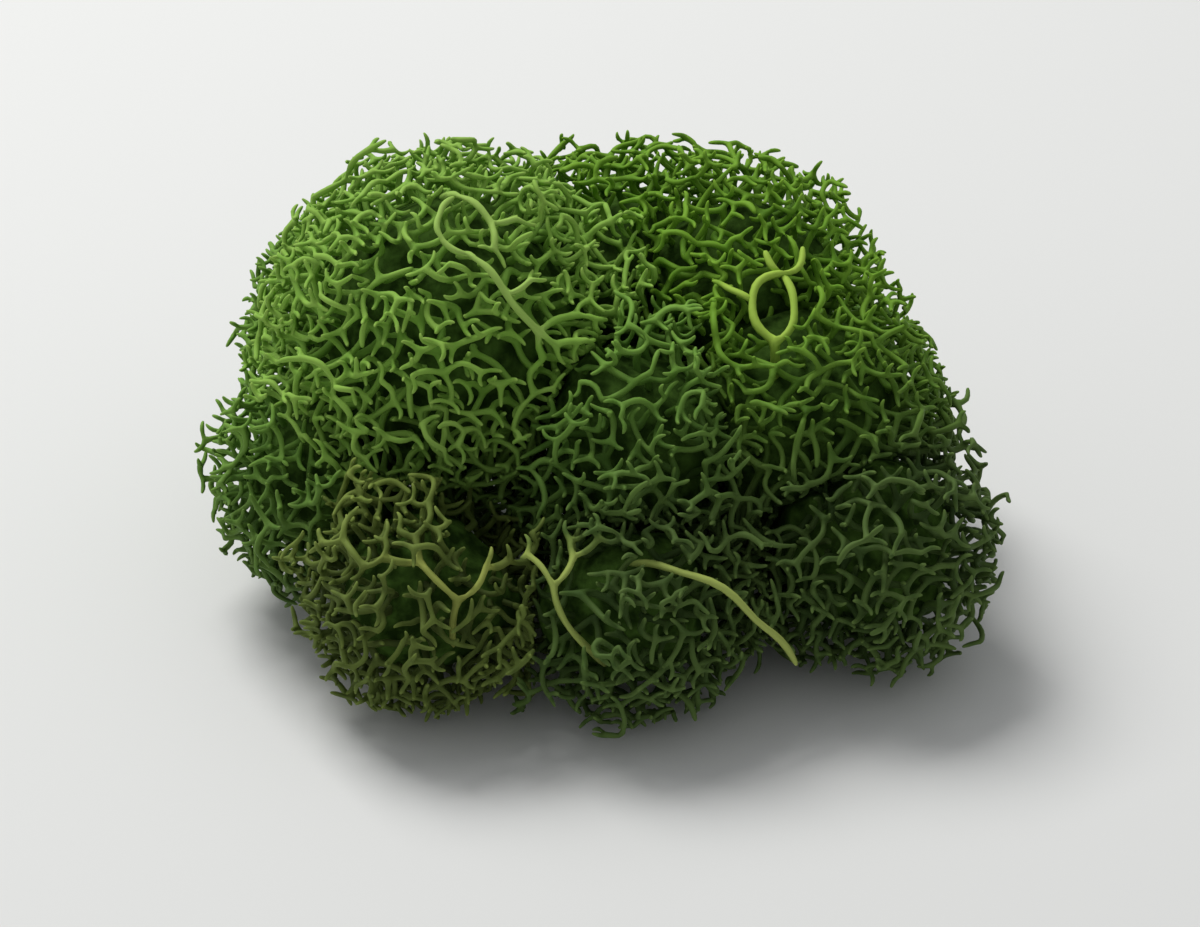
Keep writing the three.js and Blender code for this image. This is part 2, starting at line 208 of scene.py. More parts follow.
def unit(vectors):
    return vectors / np.linalg.norm(vectors, axis=-1, keepdims=True)


def across(directions, hints):
    """The part of each hint that is square to its direction, with length 1."""
    return unit(hints - (hints * directions).sum(-1, keepdims=True) * directions)


def turned(vectors, axes, angles):
    """Vectors square to their axes, turned about them."""
    return vectors * np.cos(angles)[:, None] + np.cross(axes, vectors) * np.sin(angles)[:, None]


def rings(centres, directions, ups, radii):
    """The three corners round each centre, the last one up, turning left about the direction."""
    sides = np.cross(ups, directions)
    spokes = np.cos(CORNERS)[:, None] * sides[:, None] + np.sin(CORNERS)[:, None] * ups[:, None]
    return centres[:, None] + spokes * np.reshape(radii, (-1, 1, 1))


def outward_at(name, points):
    """The way out of a lichen's own space, from the ball that each point lies deepest in."""
    offsets = points[:, None] - LICHENS[name]["balls"]
    nearest = (LICHENS[name]["ball_reach"] - np.linalg.norm(offsets, axis=2)).argmax(axis=1)
    return unit(offsets[np.arange(len(points)), nearest])


def along_branch(branches, shares):
    """Points along branches, which bow to the side of their straight line."""
    t = np.reshape(shares, (-1, 1))
    chords = branches["end"] - branches["start"]
    return (branches["start"][:, None] + t * chords[:, None]) + 4 * t * (1 - t) * branches["bend"][:, None]


def point_along(branches, along):
    """One point on each branch, at its own share of the way."""
    t = along[:, None]
    chords = branches["end"] - branches["start"]
    return branches["start"] + t * chords + 4 * t * (1 - t) * branches["bend"]


def depth_in_head(name, directions, below, least, clear):
    """How far out a place lies that is a certain way below the tips, and how far the tips are."""
    lichen = LICHENS[name]
    reach = free_run(name, np.tile(lichen["centre"], (len(directions), 1)), directions, 0)
    return np.minimum(max(least, lichen["reach"] - below), reach - clear), reach


def trunks(name, places, directions, sunk, draw):
    """Trunks that stand out of the dense middle or the stem, where there is room for them."""
    runs = free_run(name, places, directions, TRUNK["radius"])
    lengths = np.clip(TRUNK["share"] * runs, TRUNK["least"], TRUNK["most"])
    hints = np.where(np.abs(directions[:, 2:]) > NEARLY_UP, [1, 0, 0], [0, 0, 1])
    grown = np.zeros(len(places), BRANCH)
    grown["start"] = places - directions * sunk
    grown["end"] = places + directions * lengths[:, None]
    grown["direction"] = directions
    grown["up"] = turned(across(directions, hints), directions, draw.uniform(-math.pi, math.pi, len(places)))
    grown["bend"] = grown["up"] * (lengths * SWAY["stray"])[:, None]
    grown["radius"] = TRUNK["radius"]
    grown["shade"] = draw.uniform(-1, 1, len(places))
    grown["parent"] = -1
    return grown[runs > TRUNK["room"]]


def middle_trunks(name, draw):
    """Trunks evenly round the dense middle, where the lichen isn't hidden by its neighbours."""
    lichen = LICHENS[name]
    count = round(ROOTS["density"] * lichen["reach"] ** 2)
    heights = 1 - (2 * np.arange(count) + 1) / count
    turns = np.arange(count) * GOLDEN_ANGLE + draw.uniform(-ROOTS["sway"], ROOTS["sway"], count)
    level = np.sqrt(1 - heights**2)
    directions = np.stack([level * np.cos(turns), level * np.sin(turns), heights], axis=1)
    radii, reach = depth_in_head(name, directions, ROOTS["below"], ROOTS["least"], ROOTS["clear"])
    limits = lichen["centre"] + directions * reach[:, None]
    hidden = depths(limits)[:, NAMES.index(name)] > ROOTS_END["hidden_beyond"]
    kept = (heights > ROOTS_END["underside"]) & ~hidden
    places = lichen["centre"] + directions * radii[:, None]
    return trunks(name, places[kept], directions[kept], 0, draw)


def stem_trunks(name, draw):
    """A few trunks up the stem, each turned away from the one below it."""
    count = STEM_ROOTS["count"]
    turns = np.arange(count) * GOLDEN_ANGLE + draw.uniform(-STEM_ROOTS["sway"], STEM_ROOTS["sway"], count)
    directions = unit(np.stack([np.cos(turns), np.sin(turns), np.full(count, STEM_ROOTS["rise"])], axis=1))
    places = spine(name, np.linspace(STEM_ROOTS["from"], STEM_ROOTS["to"], count)) + directions * STEM_RADIUS
    return trunks(name, places, directions, STEM_ROOTS["sunk"], draw)


# Some branches catch the eye: a stout fork on the right head whose arms close to a loop, pale limbs across
# the crown, sprigs low down in front, and a long bare shoot that hangs down there. Places and bows are given
# in millimetres along the width, depth and height. A branch that starts where another ends grows from a side
# of that fork, or, where it says "on", carries it on. One that closes a loop grows no further.
ODD_BRANCHES = {  # start, end, bow to the side, radius, and manner
    "crown": [
        ((-14.2, -5.0, 42.0), (-12.6, -8.8, 44.3), (-0.3, -0.3, 0.2), 0.46, ""),
        ((-12.6, -8.8, 44.3), (-9.4, -11.2, 41.3), (0.3, -0.3, 0.5), 0.43, ""),
        ((-9.4, -11.2, 41.3), (-6.0, -11.8, 37.2), (-0.2, -0.5, 0.3), 0.4, ""),
        ((-9.4, -11.2, 41.3), (-6.9, -9.9, 42.2), (0.2, -0.3, -0.2), 0.36, ""),
        ((-12.6, -8.8, 44.3), (-15.6, -8.1, 45.5), (0.0, -0.6, -0.1), 0.4, ""),
        ((-15.6, -8.1, 45.5), (-15.9, -5.6, 47.1), (-0.5, -0.2, 0.2), 0.38, ""),
        ((-15.9, -5.6, 47.1), (-14.6, -2.9, 47.5), (-0.3, -0.2, 0.3), 0.36, "on closing"),
        ((-16.0, -0.3, 46.0), (-14.3, -2.4, 47.6), (0.0, -0.3, 0.2), 0.44, ""),
        ((-14.3, -2.4, 47.6), (-10.9, -5.3, 46.0), (0.3, -0.2, 0.7), 0.4, ""),
        ((-10.9, -5.3, 46.0), (-8.4, -3.8, 45.7), (0.1, -0.5, 0.0), 0.38, ""),
        ((-10.9, -5.3, 46.0), (-10.5, -7.8, 44.5), (0.3, -0.3, 0.2), 0.38, ""),
    ],
    "right": [
        ((17.2, -7.0, 27.4), (17.4, -8.8, 34.2), (0.3, -0.3, 0.2), 0.58, ""),
        ((17.4, -8.8, 34.2), (15.2, -5.2, 37.0), (-0.8, -0.3, -0.1), 0.54, ""),
        ((15.2, -5.2, 37.0), (18.2, -2.0, 38.3), (-0.8, 0.2, 0.7), 0.5, "on"),
        ((18.2, -2.0, 38.3), (16.6, -0.2, 39.7), (-0.2, -0.4, -0.3), 0.44, ""),
        ((18.2, -2.0, 38.3), (20.4, 1.1, 39.4), (0.8, -0.7, -0.5), 0.44, ""),
        ((17.4, -8.8, 34.2), (19.4, -5.5, 36.5), (0.8, -0.4, -0.2), 0.48, ""),
        ((19.4, -5.5, 36.5), (18.4, -2.0, 38.0), (0.3, -0.2, 0.2), 0.46, "on closing"),
        ((15.3, -5.2, 36.9), (12.6, -3.6, 37.5), (0.2, -0.4, 0.3), 0.36, ""),
    ],
    "front_low": [
        ((2.7, -25.1, 18.4), (7.9, -28.5, 19.6), (-0.3, 0.0, 0.7), 0.42, ""),
        ((7.9, -28.5, 19.6), (15.3, -29.3, 14.4), (0.6, -0.2, 1.4), 0.42, "on"),
        ((15.3, -29.3, 14.4), (19.5, -28.2, 8.6), (0.5, 0.0, 0.4), 0.4, "on"),
        ((0.8, -29.0, 8.7), (-2.9, -30.3, 14.0), (-0.3, -0.3, 0.5), 0.4, ""),
        ((-2.9, -30.3, 14.0), (-4.6, -28.4, 18.0), (-0.4, -0.3, 0.3), 0.38, "on"),
        ((-4.6, -28.4, 18.0), (-7.2, -25.8, 20.0), (0.1, 0.0, 0.6), 0.36, ""),
        ((-4.6, -28.4, 18.0), (-2.6, -26.4, 20.2), (0.4, -0.3, 0.1), 0.36, ""),
    ],
    "front_left_low": [
        ((-14.5, -29.9, 11.5), (-14.0, -29.8, 17.2), (-0.3, -0.3, 0.5), 0.4, ""),
        ((-14.0, -29.8, 17.2), (-17.8, -27.4, 20.2), (-0.2, -0.8, 0.6), 0.37, ""),
        ((-14.0, -29.8, 17.2), (-11.3, -27.4, 19.6), (0.6, -0.5, -0.1), 0.37, ""),
    ],
}
ODD_SHADE = {"crown": 2, "right": 4.4, "front_low": 3.8, "front_left_low": 3}  # how much paler they are
ODD_UP = np.array([0.0, -1.0, 0.3])  # the way that a corner of their cages faces
WHOLE_END = 3  # the side from which a branch is carried on


def side_edges(branches):
    """The middle of the edge on each of the three sides of a fork, from its centre."""
    corners = rings(branches["end"], branches["direction"], branches["up"], branches["radius"])
    return (corners + np.roll(corners, -1, axis=1)) / 2 - branches["end"][:, None]


def odd_branches(name):
    """The given branches of a lichen. Each takes the free side of its fork that faces its own way."""
    given = ODD_BRANCHES.get(name, [])
    grown = np.zeros(len(given), BRANCH)
    taken = set()
    for at, (start, end, bow, radius, manner) in enumerate(given):
        parents = [before for before in range(at) if given[before][1] == start]
        parent, side = parents[0] if parents else -1, 0
        start, end, bow = np.array([start, end, bow]) * MM
        direction = unit(end - start - 4 * bow)
        up = across(direction, ODD_UP)
        if "on" in manner:
            side = WHOLE_END
            up = across(direction, grown[parent]["up"])
        elif parents:
            edges = side_edges(grown[[parent]])[0]
            facing = edges @ (end - start + 4 * bow)
            free = [each for each in range(3) if (parent, each) not in taken]
            side = max(free, key=lambda each: facing[each])
            apex = grown[parent]["direction"] * APEX_RISE * grown[parent]["radius"]
            up = across(direction, apex - edges[side])
        taken.add((parent, side))
        shade = ODD_SHADE[name]
        grown[at] = (start, end, direction, up, bow, radius * MM, shade, parent, side, RIPE_ORDER)
    return grown


def offshoots(name, parents, numbers, order, draw):
    """Ways in which each side of each fork could grow on: first as branches, then as tips."""
    tries = TRIES["branch"] + TRIES["tip"]
    fork = FORKS[min(order, len(FORKS)) - 1]
    stem = np.repeat(parents, 3 * tries)
    sides = np.tile(np.repeat(np.arange(3), tries), len(parents))
    as_tip = np.tile(np.arange(tries) >= TRIES["branch"], 3 * len(parents)) | (order > MOST_ORDERS)
    here = np.arange(len(stem))
    ring = rings(stem["end"], stem["direction"], stem["up"], stem["radius"])
    edges = (ring[here, sides] + ring[here, (sides + 1) % 3]) / 2
    apexes = stem["end"] + stem["direction"] * (APEX_RISE * stem["radius"])[:, None]
    bases = (2 * edges + apexes) / 3
    away = turned(unit(edges - stem["end"]), stem["direction"], draw.uniform(-1, 1, len(stem)) * SWAY["turn"])
    tilt = np.where(as_tip, TIP["tilt"], fork["tilt"]) + draw.uniform(-1, 1, len(stem)) * SWAY["tilt"]
    directions = stem["direction"] * np.cos(tilt)[:, None] + away * np.sin(tilt)[:, None]
    outward = np.where(as_tip, TIP["outward"], fork["outward"])[:, None]
    normals = outward_at(name, bases)
    directions = unit(directions + outward * normals)
    near = 1 - (below_outline(depths(bases), bases) - FLATTEN["from"]) / FLATTEN["over"]
    lying = FLATTEN["share"] * np.clip(near, 0, 1) * (directions * normals).sum(1)
    directions = unit(directions - np.where(as_tip, 0, lying)[:, None] * normals)
    stretch = 1 + draw.uniform(-1, 1, len(stem)) * SWAY["length"]
    beyond = draw.uniform(BEYOND["least"], BEYOND["most"], len(stem))
    beyond[np.repeat(draw.random(len(parents)) < STRAY["share"], 3 * tries)] = STRAY["beyond"]
    runs = free_run(name, bases, directions, fork["radius"], beyond)
    tip_runs = free_run(name, bases, directions, TIP["radius"], beyond + BEYOND["tip"])
    as_tip |= runs < fork["room"]
    lengths = np.where(
        as_tip,
        np.minimum(tip_runs, TIP_SIZE["most"] * stretch),
        np.minimum(fork["share"] * runs, fork["most"] * stretch),
    )
    turns = draw.uniform(-math.pi, math.pi, len(stem))
    stray = turned(across(directions, stem["up"] + NUDGE), directions, turns)
    bows = across(directions, away) * SWAY["bend"] + stray * SWAY["stray"]
    grown = np.zeros(len(stem), BRANCH)
    grown["start"] = bases
    grown["end"] = bases + directions * lengths[:, None]
    grown["bend"] = bows * lengths[:, None]
    grown["direction"] = unit(directions - 4 * bows)
    grown["up"] = across(grown["direction"], apexes - edges)
    thickness = fork["radius"] * (1 + draw.uniform(-1, 1, len(stem)) * SWAY["radius"])
    grown["radius"] = np.where(as_tip, TIP["radius"], thickness)
    shade = stem["shade"] * (1 - SWAY["shade"]) + draw.uniform(-1, 1, len(stem)) * SWAY["shade"]
    grown["shade"] = shade
    grown["parent"] = np.repeat(numbers, 3 * tries)
    grown["side"] = sides
    grown["order"] = np.where(as_tip, TIP_ORDER, order)
    deep = below_outline(depths(grown["end"]), grown["end"])
    middles = along_branch(grown, [0.5])[:, 0]
    refused = as_tip & ((lengths < TIP_SIZE["least"]) | (deep > TIP_SIZE["deepest"]))
    refused |= room(name, middles, beyond) < 0
    grown["radius"][refused] = 0
    return grown.reshape(len(parents), 3, tries)


class Strands:
    """The straight halves of all branches so far, in which a new branch looks for a gap."""

    def __init__(self, most):
        self.starts, self.ends, self.middles = np.zeros((3, most, 3))
        self.radii = np.zeros(most)
        self.owners, self.parents = np.full((2, most), NOT_OWN)
        self.count = 0

    def add(self, branch, number):
        start, middle, end = along_branch(branch[None], [0, 0.5, 1])[0]
        for one, other in ((start, middle), (middle, end)):
            here = self.count
            self.starts[here], self.ends[here], self.middles[here] = one, other, (one + other) / 2
            self.radii[here] = branch["radius"]
            self.owners[here] = number
            self.parents[here] = branch["parent"] if number >= 0 else NOT_OWN
            self.count += 1

    def gaps(self, ways, number, around, within):
        """The narrowest gap between each way to grow and the strands that aren't its parent or sisters."""
        upto = slice(0, self.count)
        near = ((self.middles[upto] - around) ** 2).sum(1) < within**2
        kin = (self.owners[upto] == number) | ((self.parents[upto] == number) & (number >= 0))
        near = np.flatnonzero(near & ~kin)
        if len(near) == 0:
            return np.full(ways.shape, np.inf)
        strands = self.ends[near] - self.starts[near]
        offsets = along_branch(ways.ravel(), GAP_CHECKS)[:, :, None] - self.starts[near]
        shares = np.clip((offsets * strands).sum(-1) / (strands**2).sum(-1), 0, 1)
        distances = np.linalg.norm(offsets - shares[..., None] * strands, axis=-1) - self.radii[near]
        return distances.min(axis=(1, 2)).reshape(ways.shape) - ways["radius"]


def grow(name, draw, standing):
    """All the branches of one lichen, order by order, round those of its neighbours that already stand."""
    starts = np.concatenate([middle_trunks(name, draw), stem_trunks(name, draw)])
    strands = Strands(MOST_STRANDS)
    if len(standing) > 0:
        within = depths(standing["end"])[:, NAMES.index(name)] > -NEAR
        for branch in standing[within]:
            strands.add(branch, NOT_OWN)
    grown = list(odd_branches(name))
    for number, branch in enumerate(grown):
        strands.add(branch, number)
    for trunk in starts:
        end_only = trunk[None].copy()
        end_only["start"], end_only["bend"] = trunk["end"], 0
        if strands.gaps(end_only, -1, trunk["end"], TRUNK["most"] + NEAR)[0] < GAPS["trunk"]:
            continue
        strands.add(trunk, len(grown))
        grown.append(trunk)
    closing = {number for number, given in enumerate(ODD_BRANCHES.get(name, [])) if "closing" in given[-1]}
    no_more = {branch["parent"] for branch in grown} | closing
    level = [number for number in range(len(grown)) if number not in no_more]
    for order in range(1, MOST_ORDERS + 2):
        if not level:
            break
        parents = np.array([grown[number] for number in level], BRANCH)
        ways = offshoots(name, parents, level, order, draw)
        skipped = draw.random((len(level), 3)) < SKIPPED
        reach = np.linalg.norm(ways["end"] - ways["start"], axis=-1)
        level_next = []
        for at, number in enumerate(level):
            gaps = strands.gaps(ways[at], number, parents[at]["end"], reach[at].max() + NEAR)
            is_branch = ways[at]["order"] < TIP_ORDER
            scores = np.minimum(gaps, SCORE["gap_up_to"]) * np.where(is_branch, 1, SCORE["closed"])
            scores += SCORE["per_length"] * reach[at]
            scores += np.where(is_branch, SCORE["branch"], SCORE["gap_up_to"])
            too_near = gaps < np.where(is_branch, GAPS["branch"], GAPS["tip"])
            scores[too_near | (ways[at]["radius"] == 0)] = -1
            tips_left = TIPS_A_FORK
            for side in range(3):
                best = scores[side].argmax()
                branch = ways[at, side, best]
                grows_on = branch["order"] < TIP_ORDER
                if scores[side, best] < 0 or skipped[at, side] or (tips_left == 0 and not grows_on):
                    continue
                if grows_on:
                    level_next.append(len(grown))
                else:
                    tips_left -= 1
                strands.add(branch, len(grown))
                grown.append(branch)
        level = level_next
    return np.array(grown, BRANCH)


# ---- The skin of the branches ----
# Every tree of branches is one closed skin. A three-cornered cage is drawn round it, with a low point on
# each fork whose three sides carry the next branches, and is then rounded once.

CAGE = 2.05  # how much further a cage's corners stand out than the rounded branch inside it
NODE = 0.78  # how wide the cage is at a fork, as a share of that of the branch
LONG = {"stalk": 2.6 * MM, "tip": 1.3 * MM}  # from these lengths a branch or a tip has one more ring
TIP_RINGS = ((0.42, 1.1), (0.86, 0.75))  # where a tip has its rings, and how thick it is there
DEEP = 8 * MM  # below this depth under a head's outline it is as dark as it gets: old tissue, and painted shade deep in the cushion
RIPENESS = 2 / 3  # how light a ripe branch is, where 1 is a tip's point


class Cage:
    """The corners and faces of one piece, with what its finish needs to know at each corner."""

    def __init__(self):
        self.corners, self.tips, self.shades = [], [], []
        self.faces = []
        self.count = 0

    def add(self, points, tip=0, shade=0):
        """Adds corners, and returns their numbers in the shape of the points."""
        shape = points.shape[:-1]
        numbers = np.arange(self.count, self.count + math.prod(shape)).reshape(shape)
        self.count += numbers.size
        self.corners.append(points.reshape(-1, 3))
        for kept, value in ((self.tips, tip), (self.shades, shade)):
            value = np.reshape(value, np.shape(value) + (1,) * (len(shape) - np.ndim(value)))
            kept.append(np.broadcast_to(value, shape).ravel().astype(float))
        return numbers

    def sleeve(self, lower, upper):
        """The sides between two rings with as many corners."""
        quads = np.stack([lower, np.roll(lower, -1, -1), np.roll(upper, -1, -1), upper], axis=-1)
        self.faces += quads.reshape(-1, 4).tolist()

    def close(self, ring, point):
        """The sides from a ring to a point."""
        self.triangles(ring, np.roll(ring, -1, -1), np.broadcast_to(point[..., None], ring.shape))

    def triangles(self, *corners):
        """One triangle for each number in the three arrays of corners."""
        self.faces += np.stack(corners, axis=-1).reshape(-1, 3).tolist()


def add_branches(cage, branches):
    """Draws the cage round all branches of a lichen. Long ones have two rings between their ends."""
    count = len(branches)
    is_tip = branches["order"] == TIP_ORDER
    stalks, tips = branches[~is_tip], branches[is_tip]
    first_rings, second_rings, end_rings = np.zeros((3, count, 3), int)
    points = np.zeros(count, int)
    lengths = np.linalg.norm(branches["end"] - branches["start"], axis=1)
    is_long = lengths > np.where(is_tip, LONG["tip"], LONG["stalk"])

    ripeness = np.minimum(stalks["order"], RIPE_ORDER) / RIPE_ORDER * RIPENESS
    halfway = np.where(is_long[~is_tip], 1 / 3, 1 / 2)
    for along, numbers in ((halfway, first_rings), (np.full(len(stalks), 2 / 3), second_rings)):
        forward = unit(stalks["end"] - stalks["start"] + (4 - 8 * along)[:, None] * stalks["bend"])
        up = across(forward, stalks["up"])
        ring = rings(point_along(stalks, along), forward, up, stalks["radius"] * CAGE)
        numbers[~is_tip] = cage.add(ring, ripeness, stalks["shade"])
    node = stalks["radius"] * CAGE * NODE
    ends = rings(stalks["end"], stalks["direction"], stalks["up"], node)
    end_rings[~is_tip] = cage.add(ends, ripeness, stalks["shade"])
    rise = stalks["direction"] * (APEX_RISE * node)[:, None]
    carried_on = np.isin(np.arange(count), branches["parent"][branches["side"] == WHOLE_END])
    capped = ~carried_on[~is_tip]
    apexes = (stalks["end"] + rise)[capped]
    points[~is_tip & ~carried_on] = cage.add(apexes, ripeness[capped], stalks["shade"][capped])

    forward = unit(tips["end"] - tips["start"])
    for (along, thick), numbers in zip(TIP_RINGS, (first_rings, end_rings)):
        centres = point_along(tips, np.full(len(tips), along))
        thickness = np.full(len(tips), thick * TIP["radius"] * CAGE)
        ring = rings(centres, forward, across(forward, tips["up"]), thickness)
        numbers[is_tip] = cage.add(ring, along, tips["shade"])
    points[is_tip] = cage.add(tips["end"], 1, tips["shade"])
    short = is_tip & ~is_long
    end_rings[short] = first_rings[short]
    short = ~is_tip & ~is_long
    second_rings[short] = first_rings[short]

    first = branches["parent"] < 0
    roots = branches[first]
    bases = np.zeros((count, 3), int)
    root_rings = rings(roots["start"], roots["direction"], roots["up"], roots["radius"] * CAGE)
    bases[first] = cage.add(root_rings, 0, roots["shade"])
    cage.triangles(bases[first, 0], bases[first, 2], bases[first, 1])
    parent, side = branches["parent"][~first], branches["side"][~first]
    third = np.where(side == WHOLE_END, end_rings[parent, 2], points[parent])
    bases[~first] = np.stack([end_rings[parent, side % 3], end_rings[parent, (side + 1) % 3], third], axis=1)
    cage.sleeve(bases, first_rings)
    cage.sleeve(first_rings[~is_tip & is_long], second_rings[~is_tip & is_long])
    cage.sleeve(second_rings[~is_tip], end_rings[~is_tip])
    cage.sleeve(first_rings[is_tip & is_long], end_rings[is_tip & is_long])
    cage.close(end_rings[is_tip], points[is_tip])

    bare = np.ones((count, 3), bool)
    bare[is_tip | carried_on] = False
    bare[parent, side % 3] = False
    number, side = np.nonzero(bare)
    cage.triangles(end_rings[number, side], end_rings[number, (side + 1) % 3], points[number])


# ---- The dense middle and the stem ----
# The old, matted middle of a head is a dark lump of tissue from which the trunks stand out; its dark colour
# is partly painted shade, filling the hidden space deep in the cushion. Downwards it narrows into the stem,
# which has a foot torn off flat where it was picked.

MIDDLE = {"below": 3.9 * MM, "least": 2.8 * MM, "clear": 2 * MM, "bumps": 0.9 * MM, "subdivisions": 2}
MATTED = {"clear": 1.2 * MM, "over": 2 * MM, "more": 5 * MM}  # how it fills the space towards its neighbours
STEM = {"sides": 8, "rings": 14, "flare": 0.1, "top": 0.97, "wear": 0.1}
STEM_SWELL = 0.42  # how wide it gets at the top, as a share of the head's radius
FOOT_RADIUS = 1.5 * MM


def add_middle(cage, name, draw):
    """The dark lump in the middle of a head, which reaches further out where neighbours hide it, as a backing
    of painted shade.
    """
    ball = bmesh.new()
    bmesh.ops.create_icosphere(ball, subdivisions=MIDDLE["subdivisions"], radius=1)
    directions = unit(np.array([corner.co for corner in ball.verts]))
    faces = np.array([[corner.index for corner in face.verts] for face in ball.faces])
    ball.free()
    radii, reach = depth_in_head(name, directions, MIDDLE["below"], MIDDLE["least"], MIDDLE["clear"])
    deep = depths(LICHENS[name]["centre"] + directions * reach[:, None])
    others = np.delete(deep, NAMES.index(name), axis=1).max(axis=1)
    inside = np.clip(others / MATTED["over"], 0, 1)
    filled = np.minimum(radii + MATTED["more"], reach - MATTED["clear"])
    radii += inside * np.maximum(filled - radii, 0)
    radii += draw.uniform(-1, 1, len(radii)) * MIDDLE["bumps"]
    numbers = cage.add(LICHENS[name]["centre"] + directions * radii[:, None])
    cage.middle_from = len(cage.faces)
    cage.triangles(*numbers[faces].T)


def add_stem(cage, name, draw):
    """A worn round stem along the spine, from the flared foot to where it is lost in the middle."""
    turns = np.arange(STEM["sides"]) * 2 * math.pi / STEM["sides"]
    spokes = np.stack([np.cos(turns), np.sin(turns), np.zeros(len(turns))], axis=1)
    alongs = np.concatenate([[0], np.linspace(STEM["flare"], STEM["top"], STEM["rings"] - 1)])
    radii = STEM_RADIUS + STEM_SWELL * LICHENS[name]["reach"] * alongs[:, None] ** 2
    radii = np.tile(radii, (1, STEM["sides"]))
    radii[0] = FOOT_RADIUS
    radii *= 1 + draw.uniform(-1, 1, radii.shape) * STEM["wear"]
    numbers = cage.add(spine(name, alongs)[:, None] + spokes * radii[..., None])
    cage.sleeve(numbers[:-1], numbers[1:])
    cage.faces += [numbers[0, ::-1].tolist(), numbers[-1].tolist()]
    cage.middle_to = len(cage.faces)


# ---- The finish of the lichen ----
# Preserved reindeer moss is felted and almost matt, with the faint gloss of the glycerine in it. Its tips
# are lighter and yellower than its branches. Its old inner parts are nearly black, partly as old tissue and
# partly as painted shade deep in the cushion, and painted shade also darkens it low down, in front and at the
# right.

TINTS = {  # tips, branches, branches deep inside (darker as old tissue and as painted shade), and the pale ones that catch the eye
    # the crown's pale tint is lighter than the others, partly its own tone and partly painted light on the
    # top of the cushion, which faces the key light
    "pale": ("#99bc57", "#76a63a", "#6a933a", "#aac76f"),
    "cool": ("#7fa647", "#5b882d", "#557930", "#b3bf64"),
    "fresh": ("#82ac35", "#55841e", "#587b22", "#a4c24e"),
    "dry": ("#9fb057", "#68802e", "#465420", "#b1b65a"),
}
PALER = {"from": 1, "over": 4}  # how a branch turns pale where its shade is past the usual ones
PAINTED_SHADE_TINT = ("#5f763b", "#324a1e", "#253816")  # tips, branches and insides in the painted shade, where less light falls on the clump
PAINTED_SHADE_TINTS = {"dry": ("#70813b", "#404f20", "#2b3717")}
PAINTED_SHADE = {"up_to": 6 * MM, "over": 24 * MM, "way": (-0.25, 0.6, 1)}  # painted shade: darker low down, in front and at the right, away from the key light
FELT = {"scale": 900, "detail": 2.0, "depth": 0.05 * MM, "strength": 0.6}
MOTTLE = {"scale": 160, "detail": 3.0, "strength": 0.3}
PATCHES = {"scale": 45, "detail": 2.0, "strength": 0.35}
MEAN = 0.5  # of a noise
MIX_FACTOR, MIX_ONE, MIX_OTHER, MIX_RESULT = 0, 6, 7, 2  # the sockets of a mix that are for colours
RIPENING = {"power": 1.4, "by_shade": 0.16}
GLOSS = {"rough": 0.6, "rougher": 0.15, "specular": 0.12, "sheen": 0.05, "sheen_roughness": 0.4}


def colour(code):
    """A colour in linear light from its usual code."""
    parts = [int(code[at : at + 2], 16) / 255 for at in (1, 3, 5)]
    return (*[part / 12.92 if part <= 0.04045 else ((part + 0.055) / 1.055) ** 2.4 for part in parts], 1)


class Wire:
    """One socket of a shader, for sums as they are worked out: each operator adds the node it stands for."""

    def __init__(self, tree, socket=None):
        self.tree, self.socket = tree, socket

    def node(self, kind, settings=(), inputs=(), output=0):
        """Any other node: its settings are set first, then the values or links of its sockets."""
        node = self.tree.nodes.new(kind)
        for name, value in dict(settings).items():
            setattr(node, name, value)
        for key, value in dict(inputs).items():
            if isinstance(value, Wire):
                self.tree.links.new(value.socket, node.inputs[key])
            else:
                node.inputs[key].default_value = value
        return Wire(self.tree, node.outputs[output]) if node.outputs else None

    def math(self, operation, *values, clamp=False):
        return self.node("ShaderNodeMath", {"operation": operation, "use_clamp": clamp}, enumerate(values))

    def __add__(self, other):
        return self.math("ADD", self, other)

    def __sub__(self, other):
        return self.math("SUBTRACT", self, other)

    def __rsub__(self, other):
        return self.math("SUBTRACT", other, self)

    def __mul__(self, other):
        return self.math("MULTIPLY", self, other)

    def __pow__(self, other):
        return self.math("POWER", self, other)

    __radd__, __rmul__ = __add__, __mul__

    def mixed(self, one, other):
        """One colour where this value is 0, and the other where it is 1."""
        colours = {MIX_FACTOR: self, MIX_ONE: one, MIX_OTHER: other}
        return self.node("ShaderNodeMix", {"data_type": "RGBA"}, colours, output=MIX_RESULT)


def start_finish(name):
    """A new, empty finish, and a wire to start its sums from."""
    finish = bpy.data.materials.new(name)
    finish.use_nodes = True
    finish.node_tree.nodes.clear()
    return finish, Wire(finish.node_tree)


def noise(start, look):
    """Soft spots all through the piece, of the size and detail of a look."""
    place = start.node("ShaderNodeTexCoord", output="Object")
    inputs = {"Vector": place, "Scale": look["scale"], "Detail": look["detail"]}
    return start.node("ShaderNodeTexNoise", {}, inputs)


def bumpy(start, height, look):
    """Fine bumps, to the depth of a look, where the spots are light."""
    inputs = {"Height": height, "Distance": look["depth"], "Strength": look["strength"]}
    return start.node("ShaderNodeBump", {}, inputs)


